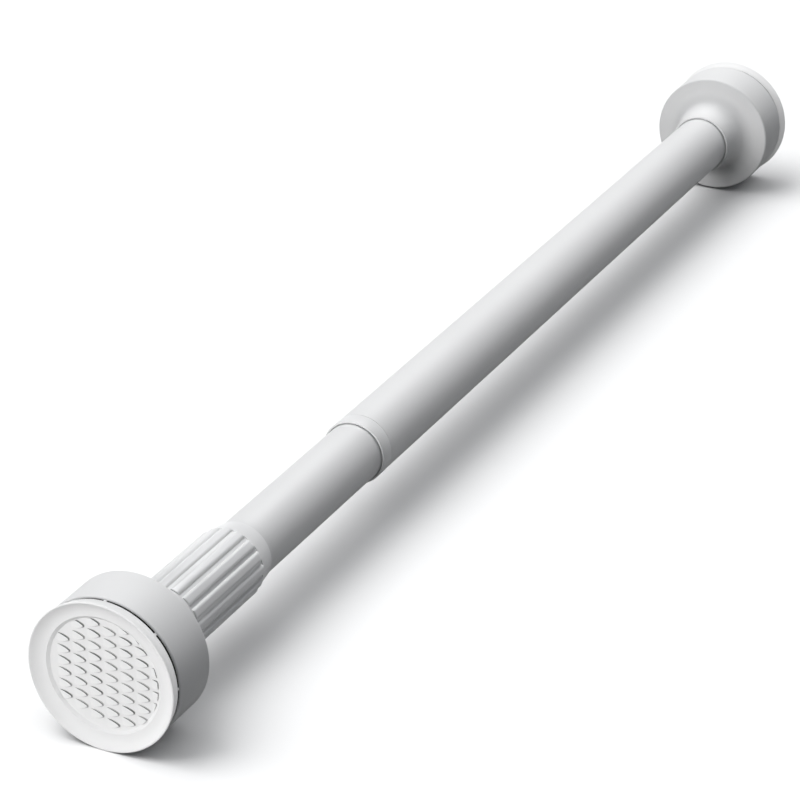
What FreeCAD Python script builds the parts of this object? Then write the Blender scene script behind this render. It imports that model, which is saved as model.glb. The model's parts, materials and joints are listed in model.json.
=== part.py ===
import FreeCAD, Part
import math
import os
import Sketcher

# A telescopic spring tension rod that is clamped between two walls.
# Frame: millimetres, +X along the rod from the fixed wall pad to the adjustable one, +Z up,
# origin at the centre of the fixed pad's rim, where it meets the wall.

SIZES = {
    # Wall pads, measured along the rod from the rim that meets the wall
    "pad_height": 5.1,
    "shadow_gap": 0.6,
    "pad_rim_overhang": 0.7,
    "pad_back_inset": 0.4,
    "pad_rim_flat": 0.8,
    "pad_rim_bevel": 0.8,
    "dish_depth": 1.8,
    "dish_radius": 21.6,
    "tread_depth": 2.5,
    "tread_radius": 20.9,
    "spigot_length": 5.5,
    "spigot_wall": 2.0,
    "spigot_relief": 1.2,
    "spigot_relief_length": 2.4,
    "bridge_count": 8,
    "bridge_width": 1.0,
    "bridge_length": 1.5,
    # Tread of overlapping scales
    "scale_length": 5.8,
    "scale_half_width": 1.75,
    "scale_nose_length": 1.8,
    "scale_nose_half_width": 1.05,
    "scale_rise": 0.55,
    "column_pitch": 5.94,
    "row_pitch": 4.33,
    "tread_shift_across": 0.99,
    "tread_shift_up": 1.36,
    "tread_margin": 0.15,
    # Trumpet end caps
    "drum_radius": 26.9,
    "drum_length": 19.5,
    "drum_wall": 2.0,
    "drum_chamfer": 0.4,
    "drum_rim_bevel": 0.8,
    "flare_length": 15.5,
    "flare_radius": 28.0,
    "flare_blend": 6.5,
    "flare_wall": 2.2,
    "socket_lip": 1.1,
    "socket_seat": 17.0,
    "web_thickness": 3.0,
    "cap_rib_count": 4,
    "cap_rib_angle": 5.0,
    # Cap screws
    "screw_radius": 2.1,
    "screw_length": 16.0,
    "screw_head_radius": 4.2,
    "screw_head_height": 2.6,
    "screw_slot_width": 1.2,
    "screw_slot_depth": 1.2,
    # Clearances
    "press_clearance": 0.02,
    "running_clearance": 0.06,
    "loose_clearance": 0.3,
    # Outer tube, its ferrule and its plug
    "outer_tube_radius": 12.5,
    "outer_tube_wall": 0.5,
    "outer_tube_length": 373.3,
    "ferrule_radius": 12.6,
    "ferrule_head": 6.8,
    "ferrule_skirt": 16.0,
    "ferrule_bevel": 0.15,
    "ferrule_mouth_gap": 0.45,
    "ferrule_mouth_depth": 1.5,
    "plug_length": 22.0,
    "plug_wall": 2.4,
    # Inner tube
    "inner_tube_radius": 11.6,
    "inner_tube_wall": 0.5,
    "inner_tube_exposed": 86.4,
    "inner_tube_tail": 223.0,
    # Twist lock behind the inner tube
    "lock_flange": 5.0,
    "lock_flange_radius": 11.2,
    "lock_journal_length": 20.0,
    "lock_journal_radius": 7.5,
    "lock_throw": 0.7,
    "lock_ring_gap": 0.35,
    "lock_ring_slot": 3.5,
    "bush_length": 16.0,
    "bush_journal_radius": 8.5,
    "bush_slot": 3.0,
    "lock_lead_in": 2.0,
    # Spring, its rod and its seats
    "spring_travel_room": 27.0,
    "rod_flats": 8.0,
    "rod_grip": 18.0,
    "rod_flats_clearance": 0.1,
    "tail_plug_length": 15.0,
    "tail_plug_flange": 2.0,
    "piston_thickness": 2.5,
    "piston_gap": 0.1,
    "rod_nut_flats": 13.0,
    "rod_nut_height": 6.5,
    "rod_tip": 1.0,
    "spring_length": 76.0,
    "spring_radius": 9.2,
    "spring_wire": 1.6,
    "spring_turns": 6.0,
    "seat_thickness": 8.0,
    "seat_bore": 4.0,
    # Adjusting nut
    "nut_length": 53.5,
    "nut_crest_radius": 13.8,
    "nut_groove_radius": 12.7,
    "nut_neck_length": 6.6,
    "nut_neck_radius": 12.1,
    "nut_shoulder_radius": 13.0,
    "nut_chamfer": 1.2,
    "nut_edge": 0.5,
    "nut_cap_gap": 0.3,
    "flute_count": 16,
    "flute_floor": 1.5,
    "flute_mouth": 4.6,
    "flute_curve": 1.7,
    "flute_phase": 13.9,
    # Screw jack
    "jack_radius": 8.0,
    "jack_length": 45.0,
    "jack_tip_chamfer": 1.0,
    "hub_clearance": 1.2,
    "bearing_spigot": 20.0,
    "bearing_cover": 3.5,
    "bearing_flange": 3.0,
    "journal_radius": 9.9,
    "journal_length": 16.0,
    "journal_end": 1.8,
    "clip_thickness": 1.0,
    "clip_groove_depth": 0.7,
    "clip_radius": 11.0,
    "clip_mouth": 12.0,
    "thrust_washer": 1.0,
    "web_gap": 0.1,
    "insert_length": 23.5,
    "insert_recess": 0.5,
}

doc = FreeCAD.newDocument("spring_tension_rod")
sheet = doc.addObject("Spreadsheet::Sheet", "Sizes")
for row, (alias, number) in enumerate(SIZES.items(), start=1):
    sheet.set(f"A{row}", alias)
    sheet.set(f"B{row}", str(number))
    sheet.setAlias(f"B{row}", alias)
doc.recompute()


class Dim:
    """A number together with the sheet expression that gives it."""

    def __init__(self, number, text):
        self.number = float(number)
        self.text = text

    @staticmethod
    def of(other):
        return other if isinstance(other, Dim) else Dim(other, repr(float(other)))

    def join(self, other, sign, number):
        return Dim(number, f"({self.text} {sign} {Dim.of(other).text})")

    def __add__(self, other):
        return self.join(other, "+", self.number + Dim.of(other).number)

    def __sub__(self, other):
        return self.join(other, "-", self.number - Dim.of(other).number)

    def __mul__(self, other):
        return self.join(other, "*", self.number * Dim.of(other).number)

    def __truediv__(self, other):
        return self.join(other, "/", self.number / Dim.of(other).number)

    def __neg__(self):
        return Dim(-self.number, f"(0 - {self.text})")

    def root(self):
        return Dim(math.sqrt(self.number), f"sqrt({self.text})")


def size(alias):
    return Dim(sheet.get(alias), f"Sizes.{alias}")


ZERO = Dim(0, "0")
FULL_TURN = 360.0
HALF_OVER_COS30 = 0.5 / math.cos(math.pi / 6)
ROOT_TWO = math.sqrt(2)
OVERCUT = 1.0

# Places along the rod that several pieces share
drum_front = size("pad_height") + size("shadow_gap")
drum_rear = drum_front + size("drum_length")
cap_mouth = drum_rear + size("flare_length")
web_front = size("socket_seat") - size("web_thickness")
socket_radius = size("outer_tube_radius") + size("running_clearance")
recess_radius = size("drum_radius") - size("drum_wall")
outer_bore = size("outer_tube_radius") - size("outer_tube_wall")
inner_bore = size("inner_tube_radius") - size("inner_tube_wall")
outer_tube_end = size("socket_seat") + size("outer_tube_length")
ferrule_front = outer_tube_end + size("ferrule_head")
nut_back = ferrule_front + size("inner_tube_exposed")
nut_front = nut_back + size("nut_length")
overall_length = nut_front + size("nut_cap_gap") + cap_mouth
inner_tube_end = nut_back + size("bearing_cover")
bearing_front = inner_tube_end + size("bearing_flange")
lock_front = size("inner_tube_tail") - size("tail_plug_flange") - size("spring_travel_room")
rod_start = lock_front - size("rod_grip")
piston_back = size("inner_tube_tail") + size("tail_plug_length") + size("piston_gap")
piston_front = piston_back + size("piston_thickness")
spring_seat_back = piston_front + size("spring_length")


def new_body(label, place=None, turned=False):
    """A body whose own x = 0 lies at place; a turned body faces the other way along the rod."""
    body = doc.addObject("PartDesign::Body", label)
    body.Label = label
    half_turn = 180.0 if turned else 0.0
    body.Placement = FreeCAD.Placement(
        FreeCAD.Vector(0, 0, 0), FreeCAD.Rotation(FreeCAD.Vector(0, 0, 1), half_turn)
    )
    if place is not None:
        body.setExpression("Placement.Base.x", place.text)
    return body


def new_sketch(body, role="XY_Plane", along=None):
    """A sketch on one of the body's own planes, moved by along in the plane's normal direction."""
    sketch = body.newObject("Sketcher::SketchObject", f"{body.Label}_sketch")
    plane = next(feature for feature in body.Origin.OriginFeatures if feature.Role == role)
    sketch.AttachmentSupport = [(plane, "")]
    sketch.MapMode = "FlatFace"
    if along is not None:
        sketch.setExpression("AttachmentOffset.Base.z", along.text)
    return sketch


def bind(sketch, constraint, text):
    index = sketch.addConstraint(constraint)
    sketch.setExpression(f"Constraints[{index}]", text)


def arc_between(start, end, radius):
    """The short arc from start to end, centred to the left of the way for a positive radius."""
    chord = end - start
    middle = (start + end) * 0.5
    side = 1.0 if radius > 0 else -1.0
    rise = math.sqrt(radius * radius - chord.Length**2 / 4)
    normal = FreeCAD.Vector(-chord.y, chord.x, 0).normalize()
    centre = middle + normal * (side * rise)
    whole = Part.Circle(centre, FreeCAD.Vector(0, 0, 1), abs(radius))
    first, last = (start, end) if side > 0 else (end, start)
    angles = [math.atan2(point.y - centre.y, point.x - centre.x) for point in (first, last)]
    if angles[1] < angles[0]:
        angles[1] += 2 * math.pi
    return Part.ArcOfCircle(whole, *angles), side


def outline(sketch, corners):
    """A closed outline. A corner is (across, up), with (radius, side) added where an arc leads on."""
    points = [FreeCAD.Vector(corner[0].number, corner[1].number, 0) for corner in corners]
    ends = []
    for index, corner in enumerate(corners):
        start = points[index]
        end = points[(index + 1) % len(points)]
        if len(corner) == 2:
            ends.append((sketch.addGeometry(Part.LineSegment(start, end)), 1, 2))
            continue
        arc, side = arc_between(start, end, corner[2].number * corner[3])
        edge = sketch.addGeometry(arc)
        ends.append((edge, 1, 2) if side > 0 else (edge, 2, 1))
        bind(sketch, Sketcher.Constraint("Radius", edge, corner[2].number), corner[2].text)
    for index, (edge, first, last) in enumerate(ends):
        following, first_of_following, _ = ends[(index + 1) % len(ends)]
        sketch.addConstraint(Sketcher.Constraint("Coincident", edge, last, following, first_of_following))
        for kind, value in zip(("DistanceX", "DistanceY"), corners[index][:2]):
            bind(sketch, Sketcher.Constraint(kind, -1, 1, edge, first, value.number), value.text)


def circle(sketch, radius, across=ZERO, up=ZERO):
    centre = FreeCAD.Vector(across.number, up.number, 0)
    edge = sketch.addGeometry(Part.Circle(centre, FreeCAD.Vector(0, 0, 1), radius.number))
    bind(sketch, Sketcher.Constraint("Radius", edge, radius.number), radius.text)
    for kind, value in (("DistanceX", across), ("DistanceY", up)):
        bind(sketch, Sketcher.Constraint(kind, -1, 1, edge, 3, value.number), value.text)


def box_corners(low_x, low_y, high_x, high_y):
    return [(low_x, low_y), (high_x, low_y), (high_x, high_y), (low_x, high_y)]


def hexagon_corners(flats):
    """A hexagon with two of its flats level."""
    reach = flats * HALF_OVER_COS30
    corners = []
    for step in range(6):
        angle = math.radians(60 * step)
        corners.append((reach * math.cos(angle), reach * math.sin(angle)))
    return corners


def revolve(body, corners):
    """Turn a half section, given as (along the rod, radius), about the rod's axis."""
    sketch = new_sketch(body)
    outline(sketch, corners)
    feature = body.newObject("PartDesign::Revolution", f"{body.Label}_turned")
    feature.Profile = sketch
    feature.ReferenceAxis = (sketch, ["H_Axis"])
    feature.Angle = FULL_TURN
    return feature


def groove(body, corners, sweep):
    sketch = new_sketch(body)
    outline(sketch, corners)
    feature = body.newObject("PartDesign::Groove", f"{body.Label}_groove")
    feature.Profile = sketch
    feature.ReferenceAxis = (sketch, ["H_Axis"])
    feature.setExpression("Angle", sweep.text)
    feature.Midplane = True
    return feature


def pad(body, along, length, draw):
    """Raise what draw puts on a sketch across the rod at along, by length towards +X."""
    sketch = new_sketch(body, "YZ_Plane", along)
    draw(sketch)
    feature = body.newObject("PartDesign::Pad", f"{body.Label}_pad")
    feature.Profile = sketch
    feature.setExpression("Length", length.text)
    return feature


def pocket(body, along, length, draw):
    """Cut what draw puts on a sketch across the rod at along, by length towards +X."""
    sketch = new_sketch(body, "YZ_Plane", along)
    draw(sketch)
    before = body.Shape.Volume
    feature = body.newObject("PartDesign::Pocket", f"{body.Label}_pocket")
    feature.Profile = sketch
    feature.setExpression("Length", length.text)
    feature.Reversed = True
    doc.recompute()
    if not body.Shape.Volume < before:
        raise RuntimeError(f"{body.Label}: a pocket removed nothing")
    return feature


def ring_of(body, feature, count):
    """Repeat a feature round the rod's axis."""
    pattern = body.newObject("PartDesign::PolarPattern", f"{body.Label}_ring")
    pattern.Originals = [feature]
    pattern.Axis = (feature.Profile[0], ["N_Axis"])
    pattern.Angle = FULL_TURN
    pattern.setExpression("Occurrences", count.text)
    body.Tip = pattern
    return pattern


def build_tube(label, start, end, inside, outside):
    body = new_body(label)
    revolve(body, box_corners(start, inside, end, outside))
    return body


def build_ferrule():
    """A flush band on the tube's end, with a thin liner skirt that guides the inner tube."""
    body = new_body("outer_tube_ferrule")
    bore = size("inner_tube_radius") + size("running_clearance")
    mouth = bore + size("ferrule_mouth_gap")
    skirt = outer_bore - size("press_clearance")
    bevel = size("ferrule_bevel")
    head = size("ferrule_radius")
    revolve(body, [
        (outer_tube_end - size("ferrule_skirt"), bore),
        (ferrule_front - size("ferrule_mouth_depth"), bore),
        (ferrule_front - size("ferrule_mouth_depth"), mouth),
        (ferrule_front, mouth),
        (ferrule_front, head - bevel),
        (ferrule_front - bevel, head),
        (outer_tube_end, head),
        (outer_tube_end, skirt),
        (outer_tube_end - size("ferrule_skirt"), skirt),
    ])
    return body


def build_cap(label, place=None, turned=False):
    """A moulded trumpet cap: open drum to the wall, flare and tube socket behind, ribbed inside."""
    body = new_body(label, place, turned)
    drum = size("drum_radius")
    chamfer = size("drum_chamfer")
    bevel = size("drum_rim_bevel")
    curve = size("flare_radius")
    blend = size("flare_blend")
    wall = size("flare_wall")
    # the flare's long curve runs tangent into a smaller one, and that into the flat shoulder
    curve_height = socket_radius + size("socket_lip") + curve
    blend_along = drum_rear + blend
    centres_along = size("flare_length") - blend
    centres_apart = curve - blend
    centres_up = (centres_apart * centres_apart - centres_along * centres_along).root()
    blend_height = curve_height - centres_up
    join_along = cap_mouth - centres_along * curve / centres_apart
    join_height = curve_height - centres_up * curve / centres_apart
    screw_hole = size("screw_radius") + size("loose_clearance")
    socket_wall = socket_radius + wall
    slope = blend_along + blend_height - (blend + wall) * ROOT_TWO
    rib_top = drum_front + size("spigot_length") + size("loose_clearance")
    revolve(body, [
        (drum_front, recess_radius),
        (drum_front, drum - chamfer),
        (drum_front + chamfer, drum),
        (drum_rear - bevel, drum),
        (drum_rear, drum - bevel),
        (drum_rear, blend_height, blend, 1),
        (join_along, join_height, curve, 1),
        (cap_mouth, socket_radius + size("socket_lip")),
        (cap_mouth, socket_radius),
        (size("socket_seat"), socket_radius),
        (size("socket_seat"), screw_hole),
        (web_front, screw_hole),
        (web_front, socket_wall),
        (rib_top, socket_wall),
        (rib_top, recess_radius),
    ])
    doc.recompute()
    before = body.Shape.Volume
    hollow = groove(body, [
        (rib_top - OVERCUT, socket_wall),
        (slope - socket_wall, socket_wall),
        (drum_rear - wall, slope - drum_rear + wall),
        (drum_rear - wall, recess_radius),
        (rib_top - OVERCUT, recess_radius),
    ], Dim(FULL_TURN, repr(FULL_TURN)) / size("cap_rib_count") - size("cap_rib_angle"))
    doc.recompute()
    if not body.Shape.Volume < before:
        raise RuntimeError(f"{label}: the hollow removed nothing")
    pattern = ring_of(body, hollow, size("cap_rib_count"))
    pattern.Axis = (hollow.Profile[0], ["H_Axis"])
    return body


def tread_scales():
    """The raised scales of a wall pad: staggered ogives that rise to their noses."""
    length = size("scale_length").number
    half_width = size("scale_half_width").number
    rise = size("scale_rise").number
    floor = size("tread_depth").number
    root = (size("pad_height").number - floor) / 2
    column = size("column_pitch").number
    row = size("row_pitch").number
    reach = size("tread_radius").number - size("tread_margin").number
    # half of a scale's plan, from its nose to its tail
    flank = [
        (0, 0),
        (size("scale_nose_length").number, size("scale_nose_half_width").number),
        (length, half_width),
    ]
    plan = flank + [(along, -across) for along, across in reversed(flank)]
    plan_points = [FreeCAD.Vector(floor + root, along, across) for along, across in plan]
    prism = Part.Face(Part.makePolygon(plan_points)).extrude(FreeCAD.Vector(-root - rise, 0, 0))
    slope = [(floor + root, 0), (floor - rise, 0), (floor, length), (floor + root, length)]
    slope_points = [FreeCAD.Vector(x, y, -half_width * 2) for x, y in slope]
    wedge = Part.Face(Part.makePolygon(slope_points + slope_points[:1]))
    scale = prism.common(wedge.extrude(FreeCAD.Vector(0, 0, half_width * 4)))
    disc = Part.makeCylinder(reach, root + rise, FreeCAD.Vector(floor - rise, 0, 0), FreeCAD.Vector(1, 0, 0))
    columns = math.ceil(reach / column) + 1
    rows = math.ceil(reach / row) + 1
    scales = []
    for across in range(-columns, columns + 1):
        stagger = (across % 2) * row / 2
        for up in range(-rows, rows + 1):
            spot = FreeCAD.Vector(
                0,
                size("tread_shift_across").number + across * column,
                size("tread_shift_up").number + up * row + stagger,
            )
            middle = spot + FreeCAD.Vector(0, length / 2, 0)
            if middle.Length < reach:
                scales.extend(scale.translated(spot).common(disc).Solids)
    return scales


def build_pad(label, place=None, turned=False):
    """A soft wall pad: rounded rim, dished ring and sunk tread, with a spigot that plugs into the drum."""
    body = new_body(f"{label}_disc", place, turned)
    rim = size("drum_radius") + size("pad_rim_overhang")
    back = size("drum_radius") - size("pad_back_inset")
    bevel = size("pad_rim_bevel")
    crest = rim - bevel
    crest_in = crest - size("pad_rim_flat")
    spigot = recess_radius - size("press_clearance")
    spigot_end = size("pad_height") + size("spigot_length")
    relief = size("spigot_relief")
    relief_end = size("pad_height") + size("spigot_relief_length")
    revolve(body, [
        (size("tread_depth"), ZERO),
        (size("pad_height"), ZERO),
        (size("pad_height"), spigot - size("spigot_wall")),
        (spigot_end, spigot - size("spigot_wall")),
        (spigot_end, spigot),
        (relief_end, spigot),
        (relief_end, spigot - relief),
        (size("pad_height"), spigot - relief),
        (size("pad_height"), back),
        (bevel, rim),
        (ZERO, crest),
        (ZERO, crest_in),
        (size("dish_depth"), size("dish_radius")),
        (size("tread_depth"), size("tread_radius")),
    ])
    half = size("bridge_width") / 2
    outer = back - size("loose_clearance")

    def draw_bridge(sketch):
        outline(sketch, box_corners(outer - size("bridge_length"), -half, outer, half))

    bridge = pad(body, size("pad_height"), size("shadow_gap"), draw_bridge)
    ring_of(body, bridge, size("bridge_count"))
    doc.recompute()
    tread = doc.addObject("Part::Feature", f"{label}_tread")
    tread.Shape = Part.makeCompound(tread_scales())
    tread.Placement = body.Placement
    joined = doc.addObject("Part::MultiFuse", label)
    joined.Shapes = [body, tread]
    joined.Refine = False
    joined.Label = label
    return joined


def build_cap_screw(label, place=None, turned=False):
    """A slotted pan-head screw from under the pad through the cap's web."""
    body = new_body(label, place, turned)
    head_front = web_front - size("screw_head_height")
    revolve(body, [
        (head_front, ZERO),
        (head_front, size("screw_head_radius")),
        (web_front, size("screw_head_radius")),
        (web_front, size("screw_radius")),
        (web_front + size("screw_length"), size("screw_radius")),
        (web_front + size("screw_length"), ZERO),
    ])
    doc.recompute()
    half = size("screw_slot_width") / 2
    reach = size("screw_head_radius") + OVERCUT

    def draw_slot(sketch):
        outline(sketch, box_corners(-half, -reach, half, reach))

    pocket(body, head_front, size("screw_slot_depth"), draw_slot)
    return body


def build_tube_plug():
    """A cup pressed into the outer tube's end, with a core that takes the cap's screw."""
    body = new_body("fixed_tube_plug")
    start = size("socket_seat")
    end = start + size("plug_length")
    outside = outer_bore - size("press_clearance")
    thread = size("screw_radius") + size("press_clearance")
    boss = thread + size("plug_wall")
    revolve(body, [
        (start, thread),
        (start, outside),
        (end, outside),
        (end, outside - size("plug_wall")),
        (start + size("web_thickness"), outside - size("plug_wall")),
        (start + size("web_thickness"), boss),
        (end, boss),
        (end, thread),
    ])
    return body


def build_lock_core():
    """The turned core behind the inner tube: flanges, an offset journal and the guide bush's journal."""
    body = new_body("lock_core")
    flange = size("lock_flange")
    rim = size("lock_flange_radius")
    front_flange = lock_front - flange
    bush_start = front_flange - size("bush_length")
    middle_flange = bush_start - flange
    ring_start = middle_flange - size("lock_journal_length")
    tail = ring_start - flange
    neck = size("lock_journal_radius") - size("lock_throw") - size("lock_throw")
    lead = size("lock_lead_in")
    revolve(body, [
        (tail, ZERO),
        (tail, rim - lead),
        (tail + lead, rim),
        (ring_start, rim),
        (ring_start, neck),
        (middle_flange, neck),
        (middle_flange, rim),
        (bush_start, rim),
        (bush_start, size("bush_journal_radius")),
        (front_flange, size("bush_journal_radius")),
        (front_flange, rim),
        (lock_front, rim),
        (lock_front, ZERO),
    ])
    pad(body, ring_start, size("lock_journal_length"),
        lambda sketch: circle(sketch, size("lock_journal_radius"), ZERO, size("lock_throw")))
    doc.recompute()
    flats = size("rod_flats") + size("press_clearance") * 2
    pocket(body, rod_start, size("rod_grip") + OVERCUT,
           lambda sketch: outline(sketch, hexagon_corners(flats)))
    return body


def split_ring(label, start, end, inside, outside, slot, offset):
    """An open ring round the core whose bore lies offset above its own centre."""
    body = new_body(label)

    def draw_ring(sketch):
        circle(sketch, outside)
        circle(sketch, inside, ZERO, offset)

    pad(body, start, end - start, draw_ring)
    doc.recompute()

    def draw_slot(sketch):
        outline(sketch, box_corners(-slot / 2, ZERO, slot / 2, outside + OVERCUT))

    pocket(body, start - OVERCUT, end - start + OVERCUT * 2, draw_slot)
    return body


def build_lock_rings():
    gap = size("loose_clearance") / 2
    flange = size("lock_flange")
    bush_end = lock_front - flange
    bush_start = bush_end - size("bush_length")
    ring_end = bush_start - flange
    ring_start = ring_end - size("lock_journal_length")
    ring = split_ring(
        "lock_ring", ring_start + gap, ring_end - gap,
        size("lock_journal_radius") + size("running_clearance"),
        outer_bore - size("lock_ring_gap"), size("lock_ring_slot"), size("lock_throw"),
    )
    bush = split_ring(
        "guide_bush", bush_start + gap, bush_end - gap,
        size("bush_journal_radius") + size("running_clearance"),
        outer_bore - size("running_clearance"), size("bush_slot"), ZERO,
    )
    return [ring, bush]


def build_spring_rod():
    """The hexagonal rod that carries the spring's push to the lock and turns it with the tube."""
    body = new_body("spring_rod")
    end = piston_front + size("rod_nut_height") + size("rod_tip")
    pad(body, rod_start, end - rod_start,
        lambda sketch: outline(sketch, hexagon_corners(size("rod_flats"))))
    return body


def hexagonal_bore(body, start, length):
    flats = size("rod_flats") + size("rod_flats_clearance") * 2
    pocket(body, start, length, lambda sketch: outline(sketch, hexagon_corners(flats)))


def build_tail_plug():
    """The plug in the inner tube's tail, with the hexagonal bore that guides the rod."""
    body = new_body("tail_plug")
    start = size("inner_tube_tail") - size("tail_plug_flange")
    end = size("inner_tube_tail") + size("tail_plug_length")
    fit = inner_bore - size("press_clearance")
    revolve(body, [
        (start, ZERO),
        (start, size("inner_tube_radius")),
        (size("inner_tube_tail"), size("inner_tube_radius")),
        (size("inner_tube_tail"), fit),
        (end, fit),
        (end, ZERO),
    ])
    doc.recompute()
    hexagonal_bore(body, start - OVERCUT, end - start + OVERCUT * 2)
    return body


def build_piston():
    """The washer that the spring pushes against on the rod's end."""
    body = new_body("piston_washer")
    pad(body, piston_back, size("piston_thickness"),
        lambda sketch: circle(sketch, inner_bore - size("loose_clearance")))
    doc.recompute()
    hexagonal_bore(body, piston_back - OVERCUT, size("piston_thickness") + OVERCUT * 2)
    return body


def build_rod_nut():
    body = new_body("rod_nut")
    pad(body, piston_front, size("rod_nut_height"),
        lambda sketch: outline(sketch, hexagon_corners(size("rod_nut_flats"))))
    doc.recompute()
    hexagonal_bore(body, piston_front - OVERCUT, size("rod_nut_height") + OVERCUT * 2)
    return body


def build_spring():
    """The compression spring between the piston and its seat, coiled from square wire."""
    body = new_body("compression_spring")
    wire = size("spring_wire")
    inside = size("spring_radius") - wire / 2
    sketch = new_sketch(body)
    outline(sketch, box_corners(piston_front, inside, piston_front + wire, inside + wire))
    coil = body.newObject("PartDesign::AdditiveHelix", "compression_spring_coil")
    coil.Profile = sketch
    coil.ReferenceAxis = (sketch, ["H_Axis"])
    coil.Mode = "height-turns-angle"
    coil.setExpression("Height", (size("spring_length") - wire).text)
    coil.setExpression("Turns", size("spring_turns").text)
    return body


def build_spring_seat():
    """The disc fixed in the inner tube that takes the spring's other end."""
    end = spring_seat_back + size("seat_thickness")
    return build_tube(
        "spring_seat", spring_seat_back, end, size("seat_bore"), inner_bore - size("press_clearance")
    )


def build_jack_bearing():
    """The plug in the inner tube's front end, with the journal that the adjusting nut turns on."""
    body = new_body("jack_bearing")
    start = inner_tube_end - size("bearing_spigot")
    groove_start = bearing_front + size("journal_length")
    groove_end = groove_start + size("clip_thickness") + size("press_clearance") * 2
    bore = size("jack_radius") + size("loose_clearance")
    journal = size("journal_radius")
    revolve(body, [
        (start, bore),
        (start, inner_bore - size("press_clearance")),
        (inner_tube_end, inner_bore - size("press_clearance")),
        (inner_tube_end, size("inner_tube_radius")),
        (bearing_front, size("inner_tube_radius")),
        (bearing_front, journal),
        (groove_start, journal),
        (groove_start, journal - size("clip_groove_depth")),
        (groove_end, journal - size("clip_groove_depth")),
        (groove_end, journal),
        (groove_end + size("journal_end"), journal),
        (groove_end + size("journal_end"), bore),
    ])
    return body


def build_retaining_clip():
    """The open clip in the journal's groove that keeps the nut on."""
    body = new_body("nut_retaining_clip")
    start = bearing_front + size("journal_length") + size("press_clearance")
    inside = size("journal_radius") - size("clip_groove_depth") + size("press_clearance")

    def draw_clip(sketch):
        circle(sketch, size("clip_radius"))
        circle(sketch, inside)

    pad(body, start, size("clip_thickness"), draw_clip)
    doc.recompute()
    half = size("clip_mouth") / 2

    def draw_mouth(sketch):
        outline(sketch, box_corners(-half, ZERO, half, size("clip_radius") + OVERCUT))

    pocket(body, start - OVERCUT, size("clip_thickness") + OVERCUT * 2, draw_mouth)
    return body


def build_adjusting_nut():
    """The fluted grip: smooth neck over the inner tube, a web round the journal and a seat for its thread."""
    body = new_body("adjusting_nut", nut_back)
    neck_bore = size("inner_tube_radius") + size("running_clearance")
    journal_bore = size("journal_radius") + size("running_clearance")
    cavity = size("clip_radius") + size("loose_clearance")
    web_start = bearing_front + size("thrust_washer") + size("web_gap") - nut_back
    web_end = bearing_front + size("journal_length") - size("web_gap") - nut_back
    length = size("nut_length")
    crest = size("nut_crest_radius")
    shoulder = size("nut_shoulder_radius")
    neck = size("nut_neck_length")
    edge = size("nut_edge")
    revolve(body, [
        (ZERO, neck_bore),
        (ZERO, size("nut_neck_radius")),
        (neck, shoulder),
        (neck + size("nut_chamfer"), crest),
        (length - edge, crest),
        (length, crest - edge),
        (length, cavity),
        (web_end, cavity),
        (web_end, journal_bore),
        (web_start, journal_bore),
        (web_start, neck_bore),
    ])
    doc.recompute()
    floor = size("flute_floor") / 2
    mouth = size("flute_mouth") / 2
    curve = size("flute_curve")

    def draw_flute(sketch):
        outline(sketch, [
            (size("nut_groove_radius"), -floor),
            (size("nut_groove_radius"), floor, curve, -1),
            (crest, mouth),
            (crest + OVERCUT, mouth),
            (crest + OVERCUT, -mouth),
            (crest, -mouth, curve, -1),
        ])

    flute = pocket(body, neck, length, draw_flute)
    ring_of(body, flute, size("flute_count"))
    body.Placement = FreeCAD.Placement(
        body.Placement.Base, FreeCAD.Rotation(FreeCAD.Vector(1, 0, 0), size("flute_phase").number)
    )
    return body


def build_thread_insert():
    end = nut_front - size("insert_recess")
    return build_tube(
        "nut_thread_insert", end - size("insert_length"), end,
        size("jack_radius") + size("running_clearance"),
        size("clip_radius") + size("loose_clearance") - size("press_clearance"),
    )


def build_jack_screw():
    """The jack's stem with the hub that plugs into the adjustable cap's socket."""
    body = new_body("jack_screw", overall_length, turned=True)
    seat = size("socket_seat")
    hub_end = cap_mouth - size("hub_clearance")
    stem = size("jack_radius")
    tip = hub_end + size("jack_length")
    chamfer = size("jack_tip_chamfer")
    thread = size("screw_radius") + size("press_clearance")
    thread_end = web_front + size("screw_length") + size("loose_clearance")
    revolve(body, [
        (seat, thread),
        (seat, size("outer_tube_radius")),
        (hub_end, size("outer_tube_radius")),
        (hub_end, stem),
        (tip - chamfer, stem),
        (tip, stem - chamfer),
        (tip, ZERO),
        (thread_end, ZERO),
        (thread_end, thread),
    ])
    return body


def build_all():
    seat = size("socket_seat")
    washer_bore = size("journal_radius") + size("running_clearance")
    parts = [
        build_tube("outer_tube", seat, outer_tube_end, outer_bore, size("outer_tube_radius")),
        build_ferrule(),
        build_cap("fixed_end_cap"),
        build_pad("fixed_pad"),
        build_tube_plug(),
        build_cap_screw("fixed_cap_screw"),
        build_lock_core(),
        *build_lock_rings(),
        build_spring_rod(),
        build_piston(),
        build_rod_nut(),
        build_tube("inner_tube", size("inner_tube_tail"), inner_tube_end, inner_bore,
                   size("inner_tube_radius")),
        build_tail_plug(),
        build_spring(),
        build_spring_seat(),
        build_jack_bearing(),
        build_tube("thrust_washer", bearing_front, bearing_front + size("thrust_washer"), washer_bore,
                   size("inner_tube_radius")),
        build_retaining_clip(),
        build_adjusting_nut(),
        build_thread_insert(),
        build_jack_screw(),
        build_cap("adjustable_end_cap", overall_length, turned=True),
        build_pad("adjustable_pad", overall_length, turned=True),
        build_cap_screw("adjustable_cap_screw", overall_length, turned=True),
    ]
    doc.recompute()
    return parts


parts = build_all()
for thing in doc.Objects:
    if "Invalid" in thing.State or "Error" in thing.State:
        raise RuntimeError(f"{thing.Label} failed: {thing.State}")
for part in parts:
    if part.Shape.isNull() or not part.Shape.isValid():
        raise RuntimeError(f"{part.Label} has no valid shape")

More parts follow.
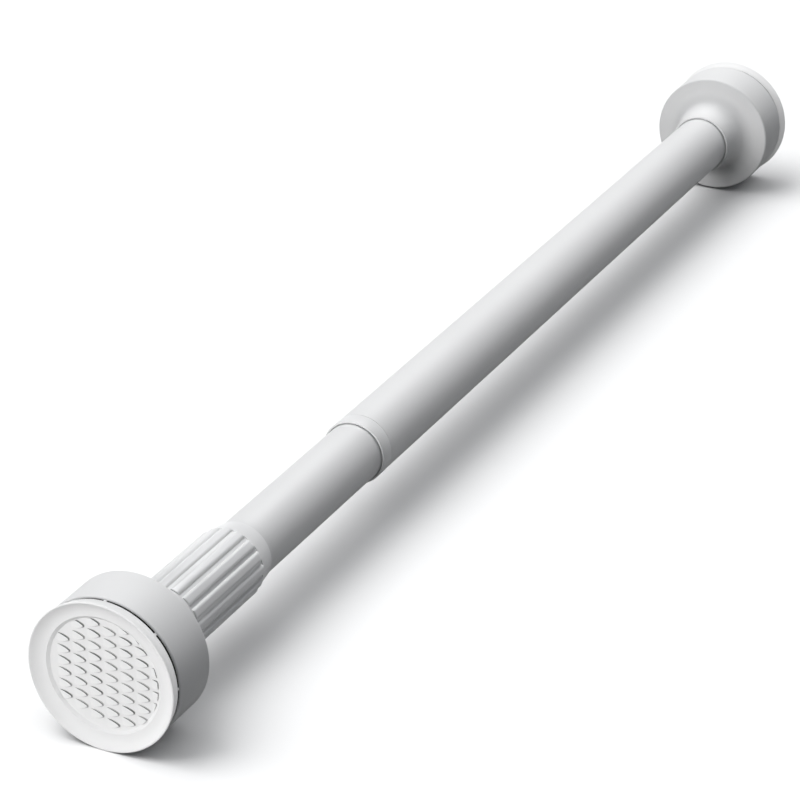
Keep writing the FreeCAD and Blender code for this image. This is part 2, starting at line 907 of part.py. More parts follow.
os.makedirs("parts", exist_ok=True)
for part in parts:
    part.Shape.exportStep(f"parts/{part.Label}.step")
    print(f"{part.Label}: {len(part.Shape.Solids)} solid(s), {part.Shape.Volume:.1f} cubic mm")
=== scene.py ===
import json
import math

import bmesh
import bpy
from mathutils import Matrix, Vector


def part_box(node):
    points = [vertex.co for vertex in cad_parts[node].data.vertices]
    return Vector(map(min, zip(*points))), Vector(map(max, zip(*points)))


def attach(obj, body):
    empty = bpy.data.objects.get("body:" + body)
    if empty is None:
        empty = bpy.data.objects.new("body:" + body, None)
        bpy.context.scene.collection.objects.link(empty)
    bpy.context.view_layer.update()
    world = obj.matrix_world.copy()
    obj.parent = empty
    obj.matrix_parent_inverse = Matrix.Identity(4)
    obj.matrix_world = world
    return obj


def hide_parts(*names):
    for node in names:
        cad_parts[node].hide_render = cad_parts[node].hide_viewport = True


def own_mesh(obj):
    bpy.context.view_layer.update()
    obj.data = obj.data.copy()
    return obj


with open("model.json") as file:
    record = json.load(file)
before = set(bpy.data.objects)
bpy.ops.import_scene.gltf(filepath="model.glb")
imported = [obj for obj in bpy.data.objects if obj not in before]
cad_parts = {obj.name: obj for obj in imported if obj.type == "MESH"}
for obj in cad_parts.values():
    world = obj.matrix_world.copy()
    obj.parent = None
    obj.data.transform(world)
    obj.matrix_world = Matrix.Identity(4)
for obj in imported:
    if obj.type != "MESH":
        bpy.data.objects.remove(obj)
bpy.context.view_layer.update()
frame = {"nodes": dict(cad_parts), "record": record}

# Pieces are modelled in millimetres and brought to the frame's metres as they are finished.
MM = 0.001
FULL_TURN = 2 * math.pi
TURN_STEPS = 160
ARC_STEPS = 10
MERGE_DISTANCE = 1e-4
SMOOTH_ANGLE = math.radians(32)


def span(node):
    """Where a CAD node starts and ends along the rod."""
    low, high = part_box(node)
    return low.x / MM, high.x / MM


def reach(node):
    """A CAD node's largest distance from the rod's axis, level or upright."""
    low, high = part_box(node)
    return max(high.y, high.z, -low.y, -low.z) / MM


# Sizes read from the frame
rod_length = span("adjustable_pad")[1]
drum_front, cap_mouth = span("fixed_end_cap")
drum_radius = reach("fixed_end_cap")
pad_radius = reach("fixed_pad")
spigot_end = span("fixed_pad")[1]
tube_radius = reach("outer_tube")
tube_start, tube_end = span("outer_tube")
inner_radius = reach("inner_tube")
inner_start, inner_end = span("inner_tube")
ferrule_start, ferrule_end = span("outer_tube_ferrule")
ferrule_radius = reach("outer_tube_ferrule")
nut_start, nut_end = span("adjusting_nut")
stem_tip, hub_back = span("jack_screw")
coil_start, coil_end = span("compression_spring")

# Sizes that several forms share
TUBE_WALL = 0.5
RUNNING = 0.06
PRESS = 0.02
PAD_HEIGHT = 4.75
PAD_BACK_INSET = 0.4
DRUM_WALL = 2.0
TREAD_DEPTH = 2.7
TREAD_RADIUS = 20.6


class Field:
    """A value that changes over a surface: an output socket, on which sums add Math nodes."""

    def __init__(self, tree, socket):
        self.tree = tree
        self.socket = socket

    def node(self, kind, settings, sockets, output=0):
        """Add a node: its settings are set first, then its sockets get their values or links."""
        made = self.tree.nodes.new(kind)
        for name, value in settings.items():
            setattr(made, name, value)
        for name, value in sockets.items():
            if isinstance(value, Field):
                self.tree.links.new(value.socket, made.inputs[name])
            else:
                made.inputs[name].default_value = value
        return Field(self.tree, made.outputs[output]) if made.outputs else None

    def math(self, operation, first, second):
        return self.node("ShaderNodeMath", {"operation": operation}, {0: first, 1: second})

    def __add__(self, other):
        return self.math("ADD", self, other)

    def __radd__(self, other):
        return self.math("ADD", other, self)

    def __sub__(self, other):
        return self.math("SUBTRACT", self, other)

    def __rsub__(self, other):
        return self.math("SUBTRACT", other, self)

    def __mul__(self, other):
        return self.math("MULTIPLY", self, other)

    def __rmul__(self, other):
        return self.math("MULTIPLY", other, self)

    def noise(self, scale, detail=2.0, stretch=(1.0, 1.0, 1.0)):
        """Soft noise from 0 to 1, with scale features to the metre."""
        place = self.node("ShaderNodeMapping", {}, {"Vector": self, "Scale": stretch})
        return self.node("ShaderNodeTexNoise", {}, {"Vector": place, "Scale": scale, "Detail": detail})

    def between(self, first, second):
        """A colour that goes from first to second as this value goes from 0 to 1."""
        return self.node("ShaderNodeMix", {"data_type": "RGBA"}, {0: self, 6: first, 7: second}, output=2)

    def bump(self, strength, depth):
        return self.node("ShaderNodeBump", {}, {"Height": self, "Strength": strength, "Distance": depth})


def new_finish(name):
    """An empty material and the place on a piece that its patterns read."""
    material = bpy.data.materials.new(name)
    material.use_nodes = True
    tree = material.node_tree
    tree.nodes.clear()
    place = Field(tree, tree.nodes.new("ShaderNodeTexCoord").outputs["Object"])
    return material, place


def close_finish(place, sockets):
    surface = place.node("ShaderNodeBsdfPrincipled", {}, sockets)
    place.node("ShaderNodeOutputMaterial", {}, {"Surface": surface})


def grey(level, warmth=0.0):
    return (level + warmth, level, level - warmth, 1.0)


def satin_paint():
    """White paint on the tubes, with a faint orange peel."""
    material, place = new_finish("satin_white_paint")
    cloud = place.noise(35.0, 3.0)
    peel = place.noise(1400.0, 1.0)
    close_finish(place, {
        "Base Color": cloud.between(grey(0.75), grey(0.79)),
        "Roughness": 0.46 + 0.08 * place.noise(220.0),
        "Normal": peel.bump(0.05, 0.00002),
        "Specular IOR Level": 0.75,
    })
    return material


def trim_plastic():
    """Smooth white plastic of the tube's ferrule."""
    material, place = new_finish("smooth_white_trim")
    cloud = place.noise(60.0, 2.0)
    close_finish(place, {
        "Base Color": cloud.between(grey(0.79), grey(0.83)),
        "Roughness": 0.34 + 0.08 * place.noise(500.0),
        "Normal": place.noise(900.0, 2.0).bump(0.04, 0.00002),
    })
    return material


def cap_plastic():
    """Matte white plastic with the fine texture of its mould."""
    material, place = new_finish("matte_white_cap")
    cloud = place.noise(45.0, 3.0)
    grain = place.noise(2600.0, 2.0)
    close_finish(place, {
        "Base Color": cloud.between(grey(0.75), grey(0.79)),
        "Roughness": 0.52 + 0.12 * grain,
        "Normal": grain.bump(0.10, 0.00003),
        "Specular IOR Level": 0.4,
    })
    return material


def soft_rubber(name, level):
    """Soft matte rubber of the pads, at a level of grey."""
    material, place = new_finish(name)
    cloud = place.noise(80.0, 3.0)
    grain = place.noise(1800.0, 3.0)
    close_finish(place, {
        "Base Color": cloud.between(grey(level * 0.98, 0.003), grey(level * 1.02, 0.003)),
        "Roughness": 0.5 + 0.15 * grain,
        "Normal": grain.bump(0.08, 0.00004),
        "Specular IOR Level": 0.3,
    })
    return material


def grip_plastic():
    """Satin light grey plastic of the fluted collar, with fine drawing lines along the rod."""
    material, place = new_finish("satin_grey_grip")
    cloud = place.noise(60.0, 2.0)
    lines = place.noise(1500.0, 2.0, (0.03, 1.0, 1.0))
    close_finish(place, {
        "Base Color": cloud.between(grey(0.83), grey(0.87)),
        "Roughness": 0.26 + 0.10 * lines,
        "Normal": lines.bump(0.03, 0.00002),
        "Coat Weight": 0.2,
        "Coat Roughness": 0.2,
    })
    return material


def moulded_nylon(name, level, warmth):
    """Moulded plastic of the pieces inside the tubes."""
    material, place = new_finish(name)
    cloud = place.noise(120.0, 3.0)
    grain = place.noise(2200.0, 2.0)
    close_finish(place, {
        "Base Color": cloud.between(grey(level, warmth), grey(level * 1.1, warmth)),
        "Roughness": 0.42 + 0.16 * grain,
        "Normal": grain.bump(0.08, 0.00003),
    })
    return material


def bright_metal(name, dark, light, roughness, stretch):
    """Bare metal with tool marks along or round the rod, as stretch sets them."""
    material, place = new_finish(name)
    marks = place.noise(1800.0, 3.0, stretch)
    cloud = place.noise(150.0, 2.0)
    close_finish(place, {
        "Base Color": cloud.between(dark, light),
        "Metallic": 1.0,
        "Roughness": roughness + 0.15 * marks,
        "Normal": marks.bump(0.06, 0.00002),
    })
    return material


FINISHES = {
    "white_tube": satin_paint(),
    "white_trim": trim_plastic(),
    "white_cap": cap_plastic(),
    "white_pad": soft_rubber("soft_white_rubber", 0.85),
    "satin_grip": grip_plastic(),
    "nylon": moulded_nylon("natural_nylon", 0.66, 0.03),
    "grey_nylon": moulded_nylon("grey_nylon", 0.34, 0.0),
    "zinc_steel": bright_metal(
        "zinc_steel", (0.52, 0.54, 0.57, 1.0), (0.66, 0.68, 0.70, 1.0), 0.26, (1.0, 0.2, 0.2)
    ),
    "spring_steel": bright_metal(
        "drawn_spring_steel", (0.30, 0.31, 0.33, 1.0), (0.42, 0.43, 0.45, 1.0), 0.3, (1.0, 1.0, 1.0)
    ),
    "brass": bright_metal(
        "turned_brass", (0.62, 0.45, 0.18, 1.0), (0.78, 0.60, 0.30, 1.0), 0.22, (1.0, 0.1, 0.1)
    ),
}
# Painted shade: a grey rubber on the walls of the tread's scales, standing for the shade on them.
SCALE_WALL_SHADE = soft_rubber("painted_shade_scale_walls", 0.34)
# Painted shade: a mid grey rubber on the groove floors at the feet of the scales, standing for the shade
# there.
SCALE_GROOVE_SHADE = soft_rubber("painted_shade_scale_grooves", 0.5)
# Painted shade: near-black rubber in the gap between each pad and its drum, where only shade falls.
GAP_SHADE = soft_rubber("painted_shade_gap", 0.03)


def arc(centre, radius, start, end, steps=ARC_STEPS):
    """Points round an arc of a half section, from one angle to another in degrees."""
    points = []
    for step in range(steps + 1):
        angle = math.radians(start + (end - start) * step / steps)
        points.append((centre[0] + radius * math.cos(angle), centre[1] + radius * math.sin(angle)))
    return points


def lathe(mesh, section, steps=TURN_STEPS):
    """Turn a half section, given as (along the rod, radius), about the rod's axis."""
    points = [mesh.verts.new((along, 0.0, radius)) for along, radius in section]
    edges = [mesh.edges.new(pair) for pair in zip(points, points[1:])]
    if section[0][1] > 0.0:
        edges.append(mesh.edges.new((points[-1], points[0])))
    bmesh.ops.spin(
        mesh, geom=points + edges, cent=(0, 0, 0), axis=(1, 0, 0), dvec=(0, 0, 0),
        angle=FULL_TURN, steps=steps, use_merge=True,
    )
    bmesh.ops.remove_doubles(mesh, verts=mesh.verts, dist=MERGE_DISTANCE)
    bmesh.ops.recalc_face_normals(mesh, faces=mesh.faces)


def ring_of_blocks(mesh, count, along, radii, width):
    """Equal blocks round the rod's axis, between two places along it and two radii."""
    block = bmesh.ops.create_cube(mesh, size=1.0)["verts"]
    bmesh.ops.scale(mesh, vec=(along[1] - along[0], radii[1] - radii[0], width), verts=block)
    bmesh.ops.translate(mesh, vec=(sum(along) / 2, sum(radii) / 2, 0), verts=block)
    edges = {edge for vert in block for edge in vert.link_edges}
    faces = {face for vert in block for face in vert.link_faces}
    bmesh.ops.spin(
        mesh, geom=[*block, *edges, *faces], cent=(0, 0, 0), axis=(1, 0, 0), dvec=(0, 0, 0),
        angle=FULL_TURN * (count - 1) / count, steps=count - 1, use_duplicate=True,
    )
    bmesh.ops.recalc_face_normals(mesh, faces=mesh.faces)


def coil(mesh, ring, pitch, turns, steps):
    """Sweep a closed ring of points round the rod's axis, advancing by pitch with each turn."""
    face = mesh.faces.new([mesh.verts.new(point) for point in ring])
    bmesh.ops.spin(
        mesh, geom=[face, *face.verts, *face.edges], cent=(0, 0, 0), axis=(1, 0, 0),
        dvec=(pitch / steps, 0, 0), angle=FULL_TURN * turns, steps=round(steps * turns),
    )
    bmesh.ops.recalc_face_normals(mesh, faces=mesh.faces)


def finish_piece(mesh, name, body, slot, *nodes, place=None, painted_shades=()):
    """Make a modelled mesh a piece of the object in the place of its CAD nodes.

    Faces of the mesh with a material index from 1 up get the painted shade finishes in their order.
    """
    bmesh.ops.transform(mesh, matrix=place or Matrix(), verts=mesh.verts)
    bmesh.ops.scale(mesh, vec=(MM, MM, MM), verts=mesh.verts)
    data = bpy.data.meshes.new(name)
    mesh.to_mesh(data)
    mesh.free()
    data.shade_smooth()
    data.set_sharp_from_angle(angle=SMOOTH_ANGLE)
    for finish in (FINISHES[slot], *painted_shades):
        data.materials.append(finish)
    piece = bpy.data.objects.new(name, data)
    bpy.context.collection.objects.link(piece)
    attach(piece, body)
    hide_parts(*nodes)
    return piece


def round_edges(piece, width):
    """Soften a piece's sharp edges."""
    bevel = piece.modifiers.new("soft_edges", "BEVEL")
    bevel.width = width * MM
    bevel.segments = 2
    bevel.limit_method = "ANGLE"
    bevel.angle_limit = SMOOTH_ANGLE


def make_tube(name, body, start, end, radius):
    mesh = bmesh.new()
    inside = radius - TUBE_WALL
    lathe(mesh, [(start, inside), (start, radius), (end, radius), (end, inside)])
    finish_piece(mesh, name, body, "white_tube", name)


def make_ferrule():
    """The band on the outer tube's end, open a little round the inner tube, and the liner behind it."""
    rounding = 0.12
    seam = 0.28
    seam_depth = 0.45
    mouth_gap = 0.32
    mouth_depth = 1.5
    bore = inner_radius + RUNNING
    mouth = bore + mouth_gap
    liner = tube_radius - TUBE_WALL - PRESS
    mesh = bmesh.new()
    lathe(mesh, [
        (ferrule_start, bore),
        (ferrule_start, liner),
        (tube_end, liner),
        (tube_end, ferrule_radius - seam_depth),
        (tube_end + seam, ferrule_radius - seam_depth),
        (tube_end + seam, ferrule_radius - rounding),
        *arc((tube_end + seam + rounding, ferrule_radius - rounding), rounding, 180, 90, 4)[1:],
        *arc((ferrule_end - rounding, ferrule_radius - rounding), rounding, 90, 0, 5),
        (ferrule_end, mouth),
        (ferrule_end - mouth_depth, mouth),
        (ferrule_end - mouth_depth, bore),
    ])
    finish_piece(mesh, "outer_tube_ferrule", "outer", "white_trim", "outer_tube_ferrule")


END_PLACES = {
    "fixed": Matrix(),
    "adjustable": Matrix.Translation((rod_length, 0, 0)) @ Matrix.Rotation(math.pi, 4, "Z"),
}
END_BODIES = {"fixed": "outer", "adjustable": "jack"}


def make_cap(end):
    """A trumpet cap: drum with a ring cavity behind its front lip painted near-black as shade, shoulder,
    flare, socket and ribs inside.
    """
    drum_rear = 25.2
    chamfer = 0.3
    front_lip = 0.75
    ring_depth = 2.4
    rounding = 0.9
    curve = 28.0
    blend = 6.5
    wall = 2.2
    lip = 1.1
    lip_round = 0.3
    mouth_gap = 0.35
    mouth_depth = 1.2
    socket = tube_radius + RUNNING
    seat = 17.0
    web = 3.0
    hole = 2.4
    rib_front = 11.5
    rib_count = 4
    rib_width = 1.7
    curve_centre = (cap_mouth, socket + lip + curve)
    centres_along = cap_mouth - drum_rear - blend
    centres_up = math.sqrt((curve - blend) ** 2 - centres_along**2)
    blend_centre = (drum_rear + blend, curve_centre[1] - centres_up)
    join = 180 + math.degrees(math.atan2(centres_up, centres_along))
    hollow_foot = socket + wall
    hollow_rear = drum_rear - wall
    hollow_slope = sum(blend_centre) - (blend + wall) * math.sqrt(2)
    recess = drum_radius - DRUM_WALL
    ring_back = drum_front + ring_depth
    ring_radius = drum_radius - front_lip
    mesh = bmesh.new()
    lathe(mesh, [
        (ring_back, recess),
        (ring_back, ring_radius),
        (drum_front, ring_radius),
        (drum_front, drum_radius - chamfer),
        (drum_front + chamfer, drum_radius),
        *arc((drum_rear - rounding, drum_radius - rounding), rounding, 90, 0, 8),
        *arc(blend_centre, blend, 180, join, 14)[:-1],
        *arc(curve_centre, curve, join, 270, 20)[:-1],
        (cap_mouth - lip_round, socket + lip),
        *arc((cap_mouth - lip_round, socket + lip - lip_round), lip_round, 90, 0, 5),
        (cap_mouth, socket + mouth_gap),
        (cap_mouth - mouth_depth, socket + mouth_gap),
        (cap_mouth - mouth_depth, socket),
        (seat, socket),
        (seat, hole),
        (seat - web, hole),
        (seat - web, hollow_foot),
        (hollow_slope - hollow_foot, hollow_foot),
        (hollow_rear, hollow_slope - hollow_rear),
        (hollow_rear, recess),
    ])
    # Painted shade: the cavity behind the drum's front lip gets the near-black finish of the gap's shade.
    for face in mesh.faces:
        middle = face.calc_center_median()
        off_axis = math.hypot(middle.y, middle.z)
        face.material_index = int(middle.x < ring_back + PRESS and off_axis < ring_radius + PRESS)
    rib_radii = (hollow_foot - PRESS, recess + PRESS)
    ring_of_blocks(mesh, rib_count, (rib_front, hollow_rear), rib_radii, rib_width)
    name = f"{end}_end_cap"
    finish_piece(
        mesh, name, END_BODIES[end], "white_cap", name, place=END_PLACES[end], painted_shades=[GAP_SHADE]
    )


def make_pad_disc(end):
    """A pad's disc: thin rim, coved ring, sunk floor, and a spigot in the drum whose back is painted
    near-black as the gap's shade.
    """
    back_radius = drum_radius - PAD_BACK_INSET
    back_edge = 0.12
    rim_round = 0.4
    crest = 0.15
    cove = 2.6
    dish_depth = 1.8
    dish_radius = 21.6
    dish_edge = 0.1
    spigot = drum_radius - DRUM_WALL - PRESS
    spigot_wall = 2.0
    spigot_lead = 0.4
    relief = 1.2
    relief_length = 2.4
    relief_end = PAD_HEIGHT + relief_length
    dish_steps = 16
    crest_end = pad_radius - rim_round - crest
    dish = []
    for step in range(1, dish_steps + 1):
        part = step / dish_steps
        dish.append((dish_depth * (1 - part**cove), dish_radius + (crest_end - dish_radius) * part))
    mesh = bmesh.new()
    lathe(mesh, [
        (TREAD_DEPTH, 0.0),
        (TREAD_DEPTH, TREAD_RADIUS),
        (dish_depth + dish_edge, dish_radius - dish_edge / 2),
        (dish_depth, dish_radius + dish_edge / 2),
        *dish,
        *arc((rim_round, pad_radius - rim_round), rim_round, 180, 90, 8),
        (PAD_HEIGHT - back_edge, back_radius),
        (PAD_HEIGHT, back_radius - back_edge),
        (PAD_HEIGHT, spigot - relief),
        (relief_end, spigot - relief),
        (relief_end, spigot),
        (spigot_end - spigot_lead, spigot),
        (spigot_end, spigot - spigot_lead),
        (spigot_end, spigot - spigot_wall),
        (PAD_HEIGHT, spigot - spigot_wall),
        (PAD_HEIGHT, 0.0),
    ])
    # Painted shade: the pad's back and spigot in the gap get the near-black finish of the gap's shade.
    for face in mesh.faces:
        face.material_index = int(face.calc_center_median().x > PAD_HEIGHT - PRESS)
    name = f"{end}_pad"
    return finish_piece(
        mesh, name, END_BODIES[end], "white_pad", name, place=END_PLACES[end], painted_shades=[GAP_SHADE]
    )


def scale_outline(length, groove):
    """A scale's plan round its nose, and one wider by a groove that narrows to the tail."""
    nose = 0.4
    turn = 60
    tip_steps = 4
    flank_steps = 7
    groove_taper = 3
    tip = arc((nose, 0.0), nose, 180, 180 - turn, tip_steps)
    bow = (length - tip[-1][0]) / math.cos(math.radians(turn))
    centre = (length, tip[-1][1] - bow * math.sin(math.radians(turn)))
    flank = tip + arc(centre, bow, 180 - turn, 90, flank_steps)[1:]
    wide = []
    for point, (along, across) in enumerate(flank):
        middle = (nose, 0.0) if point < len(tip) else centre
        aside = math.atan2(across - middle[1], along - middle[0])
        width = groove * (1 - (along / length) ** groove_taper)
        wide.append((along + width * math.cos(aside), across + width * math.sin(aside)))
    plans = []
    for half in (flank, wide):
        plans.append(half + [(along, -across) for along, across in reversed(half[1:])])
    return plans


def raise_scale(mesh, root, stages):
    """Extrude a scale from its root face through stages, each the points that the face then takes."""
    face = mesh.faces.new([mesh.verts.new(point) for point in root])
    for points in stages:
        raised = bmesh.ops.extrude_face_region(mesh, geom=[face])["geom"]
        face = next(item for item in raised if isinstance(item, bmesh.types.BMFace))
        for vert, point in zip(face.verts, points):
            vert.co = point


def make_pad_tread(end):
    """The staggered scales of a pad's tread, each rising from its tail to its nose."""
    length = 4.7
    groove = 0.36
    rise = 0.5
    rise_bow = 3.0
    sunk = 0.3
    tail_lift = 0.02
    column = 5.94
    row = 4.33
    shift_across = 0.99
    shift_up = 1.36
    rim_gap = 0.15
    rim = TREAD_RADIUS - rim_gap
    kept_within = rim + 0.4
    kept_from_nose = 0.9 * length
    clip_steps = 48
    wall_tilt = 0.5
    groove_height = 2 * tail_lift
    plan, wide_plan = scale_outline(length, groove)
    mesh = bmesh.new()
    columns = math.ceil(rim / column) + 1
    rows = math.ceil(rim / row) + 1
    for across in range(-columns, columns + 1):
        stagger = (across % 2) * row / 2
        for up in range(-rows, rows + 1):
            nose = Vector((TREAD_DEPTH, shift_across + across * column, shift_up + up * row + stagger))
            if math.hypot(nose.y + kept_from_nose, nose.z) > kept_within:
                continue
            raise_scale(mesh, [nose + Vector((sunk, y, z)) for y, z in wide_plan], [
                [nose + Vector((-tail_lift / 2, y, z)) for y, z in wide_plan],
                [nose + Vector((-tail_lift, y, z)) for y, z in plan],
                [nose + Vector((-tail_lift - rise * (1 - (y / length) ** rise_bow), y, z)) for y, z in plan],
            ])
    for step in range(clip_steps):
        angle = FULL_TURN * step / clip_steps
        outward = Vector((0, math.cos(angle), math.sin(angle)))
        bmesh.ops.bisect_plane(
            mesh, geom=[*mesh.verts, *mesh.edges, *mesh.faces], dist=MERGE_DISTANCE,
            plane_co=outward * rim, plane_no=outward, clear_outer=True,
        )
    bmesh.ops.holes_fill(mesh, edges=[edge for edge in mesh.edges if edge.is_boundary], sides=0)
    bmesh.ops.recalc_face_normals(mesh, faces=mesh.faces)
    for face in mesh.faces:
        # Painted shade: the scales' walls get a grey rubber in place of their shade.
        if abs(face.normal.x) < wall_tilt:
            face.material_index = 1
        # Painted shade: the groove floors at the scales' feet get a mid grey rubber in place of their shade.
        elif face.calc_center_median().x > TREAD_DEPTH - groove_height:
            face.material_index = 2
    piece = finish_piece(
        mesh, f"{end}_pad_tread", END_BODIES[end], "white_pad", f"{end}_pad", place=END_PLACES[end],
        painted_shades=[SCALE_WALL_SHADE, SCALE_GROOVE_SHADE],
    )
    round_edges(piece, 0.05)
    return piece


def make_pad_bridges(end):
    """The short bridges across the gap between a pad and its drum."""
    count = 8
    width = 1.0
    inset = 0.3
    depth = 1.5
    outer = drum_radius - PAD_BACK_INSET - inset
    inner = outer - depth
    sunk = 0.1
    mesh = bmesh.new()
    ring_of_blocks(mesh, count, (PAD_HEIGHT - sunk, drum_front), (inner, outer), width)
    return finish_piece(
        mesh, f"{end}_pad_bridges", END_BODIES[end], "white_pad", f"{end}_pad", place=END_PLACES[end]
    )


def fluted_radius(angle, crest, count, phase, depth, floor, mouth):
    """The fluted outline's distance from the axis at an angle round the collar."""
    pitch = FULL_TURN / count
    off = abs((angle - phase + pitch / 2) % pitch - pitch / 2) * crest
    if off <= floor / 2:
        return crest - depth
    if off >= mouth / 2:
        return crest
    part = (off - floor / 2) / (mouth / 2 - floor / 2)
    return crest - depth + depth * math.sqrt(1 - (1 - part) ** 2)


def make_collar():
    """The fluted collar: smooth neck, a fine line, rounded rib ends and broad ribs between flutes."""
    crest = 13.8
    shoulder = 13.0
    neck_radius = 12.1
    neck_edge = 0.15
    neck = 8.0
    line = 0.4
    line_depth = 0.35
    chamfer = 1.0
    edge = 0.5
    count = 16
    phase = math.radians(13.9)
    depth = 1.0
    floor = 1.5
    mouth = 3.9
    wall_slope = 0.03
    chamfer_steps = 8
    steps_per_flute = 32
    neck_bore = inner_radius + RUNNING
    journal_bore = 9.96
    cavity = 11.3
    web_start, web_end = 7.6, 22.4
    mesh = bmesh.new()
    rib_end = []
    for step in range(chamfer_steps + 1):
        turn = math.pi / 2 * step / chamfer_steps
        rib_end.append((
            nut_start + neck + wall_slope + chamfer * (1 - math.cos(turn)),
            shoulder + (crest - shoulder) * math.sin(turn),
        ))
    lathe(mesh, [
        (nut_start, neck_bore),
        (nut_start, neck_radius - neck_edge),
        (nut_start + neck_edge, neck_radius),
        (nut_start + neck - line, shoulder),
        (nut_start + neck - line / 2, shoulder - line_depth),
        (nut_start + neck, shoulder - line_depth),
        *rib_end,
        (nut_end - edge, crest),
        *arc((nut_end - edge, crest - edge), edge, 90, 0, 5)[1:],
        (nut_end, cavity),
        (nut_start + web_end, cavity),
        (nut_start + web_end, journal_bore),
        (nut_start + web_start, journal_bore),
        (nut_start + web_start, neck_bore),
    ], steps=count * steps_per_flute)
    for vert in mesh.verts:
        radius = math.hypot(vert.co.y, vert.co.z)
        if vert.co.x < nut_start + neck + wall_slope / 2 or radius < crest - depth:
            continue
        wanted = fluted_radius(math.atan2(vert.co.z, vert.co.y), crest, count, phase, depth, floor, mouth)
        if radius > wanted:
            vert.co.y *= wanted / radius
            vert.co.z *= wanted / radius
    bmesh.ops.recalc_face_normals(mesh, faces=mesh.faces)
    finish_piece(mesh, "adjusting_nut", "nut", "satin_grip", "adjusting_nut")


def make_jack():
    """The jack's stem with its screw thread, and the hub in the cap's socket."""
    hub_inset = 1.2
    hub_start = rod_length - cap_mouth + hub_inset
    hub_edge = 0.4
    core = 6.9
    tip_edge = 0.8
    crest = 7.95
    root = core - 0.1
    pitch = 4.0
    turns = 10.5
    turn_steps = 64
    thread_start = stem_tip + 1.2
    thread_flank = 0.6
    thread_crest = 0.8
    thread_bore = 2.12
    bore_depth = 13.3
    mesh = bmesh.new()
    lathe(mesh, [
        (stem_tip, 0.0),
        (stem_tip, core - tip_edge),
        (stem_tip + tip_edge, core),
        (hub_start, core),
        (hub_start, tube_radius - hub_edge),
        (hub_start + hub_edge, tube_radius),
        (hub_back, tube_radius),
        (hub_back, thread_bore),
        (hub_back - bore_depth, thread_bore),
        (hub_back - bore_depth, 0.0),
    ])
    finish_piece(mesh, "jack_screw", "jack", "grey_nylon", "jack_screw")
    ridge = bmesh.new()
    coil(ridge, [
        (thread_start, 0.0, root),
        (thread_start + thread_flank, 0.0, crest),
        (thread_start + thread_flank + thread_crest, 0.0, crest),
        (thread_start + 2 * thread_flank + thread_crest, 0.0, root),
    ], pitch, turns, turn_steps)
    finish_piece(ridge, "jack_screw_thread", "jack", "grey_nylon", "jack_screw")


def make_spring():
    """The compression spring of round wire, which shortens as the inner tube is pushed in."""
    wire = 0.8
    coil_radius = 9.2
    turns = 13.0
    wire_steps = 14
    turn_steps = 48
    ring = []
    for step in range(wire_steps):
        angle = FULL_TURN * step / wire_steps
        ring.append((
            coil_start + wire + wire * math.cos(angle), 0.0, coil_radius + wire * math.sin(angle)
        ))
    mesh = bmesh.new()
    travel = coil_end - coil_start - 2 * wire
    coil(mesh, ring, travel / turns, turns, turn_steps)
    piece = finish_piece(mesh, "compression_spring", "inner", "spring_steel", "compression_spring")
    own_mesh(piece)


make_tube("outer_tube", "outer", tube_start, tube_end, tube_radius)
make_tube("inner_tube", "inner", inner_start, inner_end, inner_radius)
make_ferrule()
pad_pieces = []
for end_name in END_PLACES:
    make_cap(end_name)
    pad_pieces += [make_pad_disc(end_name), make_pad_tread(end_name), make_pad_bridges(end_name)]
make_collar()
make_jack()
make_spring()

node_slots = {part["node"]: part["material_slot"] for part in frame["record"]["subparts"]}
for node_name, node in frame["nodes"].items():
    node.data.materials.clear()
    node.data.materials.append(FINISHES[node_slots[node_name]])


def seen_directly(tree):
    """At least 1 for rays from the camera and for those that gloss or glass sends on, otherwise 0."""
    path = tree.nodes.new("ShaderNodeLightPath")
    rays = [Field(tree, path.outputs[f"Is {kind} Ray"]) for kind in ("Camera", "Glossy", "Transmission")]
    return rays[0] + rays[1] + rays[2]


def make_floor():
    """A plain pale floor, dim in the light that it throws back and plain white far from the rod."""
    half_side = 4.0
    plain_from, plain_full = 0.6, 1.1
    level = -pad_radius * MM
    middle = (rod_length / 2 * MM, 0.0, level)
    mesh = bmesh.new()
    bmesh.ops.create_grid(mesh, x_segments=1, y_segments=1, size=half_side)
    bmesh.ops.translate(mesh, vec=(0, 0, level), verts=mesh.verts)
    data = bpy.data.meshes.new("floor")
    mesh.to_mesh(data)
    mesh.free()
    material, place = new_finish("pale_floor")
    seen = seen_directly(material.node_tree)
    distance = place.node(
        "ShaderNodeVectorMath", {"operation": "DISTANCE"}, {0: place, 1: middle}, output="Value"
    )
    plain = place.node(
        "ShaderNodeMapRange", {"interpolation_type": "SMOOTHSTEP"},
        {"Value": distance, "From Min": plain_from, "From Max": plain_full},
    )
    close_finish(place, {
        "Base Color": (seen * (1 - plain)).between(grey(0.08), grey(0.95)),
        "Roughness": 0.9,
        "Specular IOR Level": 0.0,
        "Emission Color": (seen * plain).between(grey(0.0), grey(1.0)),
        "Emission Strength": 1.0,
    })
    data.materials.append(material)
    floor = bpy.data.objects.new("floor", data)
    bpy.context.collection.objects.link(floor)
    return floor


def light_group(name, things, state):
    """A group of lit things: only those given for INCLUDE, all but those for EXCLUDE."""
    group = bpy.data.collections.new(name)
    for thing in things:
        group.objects.link(thing)
    for member in group.collection_objects:
        member.light_linking.link_state = state
    return group


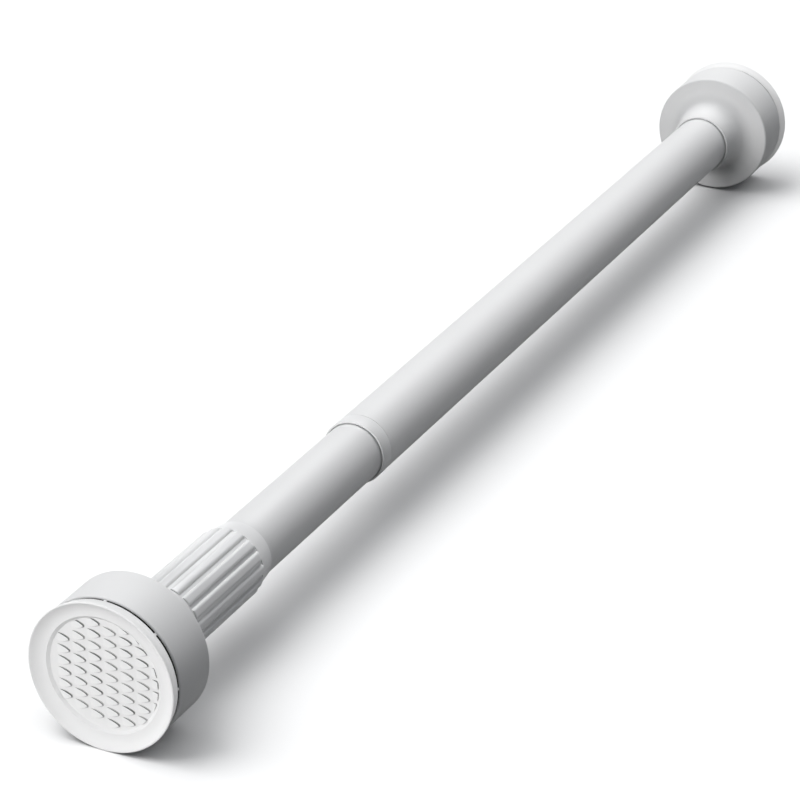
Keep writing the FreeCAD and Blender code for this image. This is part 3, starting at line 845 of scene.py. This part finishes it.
def make_world():
    """Soft light from all round, a little cool, with plain white seen low over the floor's edge."""
    white_to, white_end = 0.14, 0.2
    world = bpy.data.worlds.new("studio")
    bpy.context.scene.world = world
    world.use_nodes = True
    tree = world.node_tree
    tree.nodes.clear()
    way = Field(tree, tree.nodes.new("ShaderNodeTexCoord").outputs["Generated"])
    height = way.node("ShaderNodeSeparateXYZ", {}, {"Vector": way}, output="Z")
    low = way.node(
        "ShaderNodeMapRange", {"interpolation_type": "SMOOTHSTEP"},
        {"Value": height, "From Min": white_end, "From Max": white_to},
    )
    light = (seen_directly(tree) * low).between((0.20, 0.207, 0.217, 1.0), grey(1.0))
    background = way.node("ShaderNodeBackground", {}, {"Color": light, "Strength": 1.0})
    way.node("ShaderNodeOutputWorld", {}, {"Surface": background})


def make_softbox(name, direction, side, level, lit):
    """A square lamp that lights a group of things from a direction, to a level at which 1 shows white."""
    aim = Vector((rod_length / 2 * MM, 0, 0))
    distance = 4.0
    lamp = bpy.data.lights.new(name, "AREA")
    lamp.shape = "SQUARE"
    lamp.size = side
    lamp.energy = level * (math.pi * distance) ** 2
    box = bpy.data.objects.new(name, lamp)
    towards = Vector(direction).normalized()
    box.location = aim + towards * distance
    box.rotation_euler = towards.to_track_quat("Z", "Y").to_euler()
    box.light_linking.receiver_collection = lit
    bpy.context.collection.objects.link(box)


def make_camera():
    """The photo's viewpoint."""
    place = (1.28657, 0.45844, 0.50607)
    forward = Vector((-0.80708, -0.39851, -0.43568))
    lens = bpy.data.cameras.new("camera")
    lens.sensor_width = 36.0
    lens.lens = 135.31
    camera = bpy.data.objects.new("camera", lens)
    camera.location = place
    camera.rotation_euler = forward.to_track_quat("-Z", "Y").to_euler()
    bpy.context.collection.objects.link(camera)
    bpy.context.scene.camera = camera


pale_floor = make_floor()
make_world()
object_light = light_group("lit_object", [pale_floor], "EXCLUDE")
rod_light = light_group("lit_rod", [pale_floor, *pad_pieces], "EXCLUDE")
pad_light = light_group("lit_pads", pad_pieces, "INCLUDE")
floor_light = light_group("lit_floor", [pale_floor], "INCLUDE")
overhead = (-0.4, -0.17, 0.9)
make_softbox("top_softbox", overhead, 2.0, 0.84, rod_light)
make_softbox("front_softbox", (0.95, -0.15, 0.25), 1.6, 0.6, object_light)
make_softbox("rear_softbox", (-1.0, 0.0, 0.0), 1.6, 0.35, object_light)
make_softbox("pad_top", overhead, 2.0, 0.68, pad_light)
make_softbox("pad_key", (0.5, -0.85, 0.1), 1.6, 0.36, pad_light)
make_softbox("pad_fill", (0.1, 0.95, 0.25), 1.6, 0.25, pad_light)
make_softbox("floor_key", (0.3, -0.43, 0.85), 3.4, 0.8, floor_light)
make_softbox("floor_canopy", (0.0, 0.0, 1.0), 8.0, 0.92, floor_light)
make_camera()
bpy.context.scene.view_settings.view_transform = "Standard"
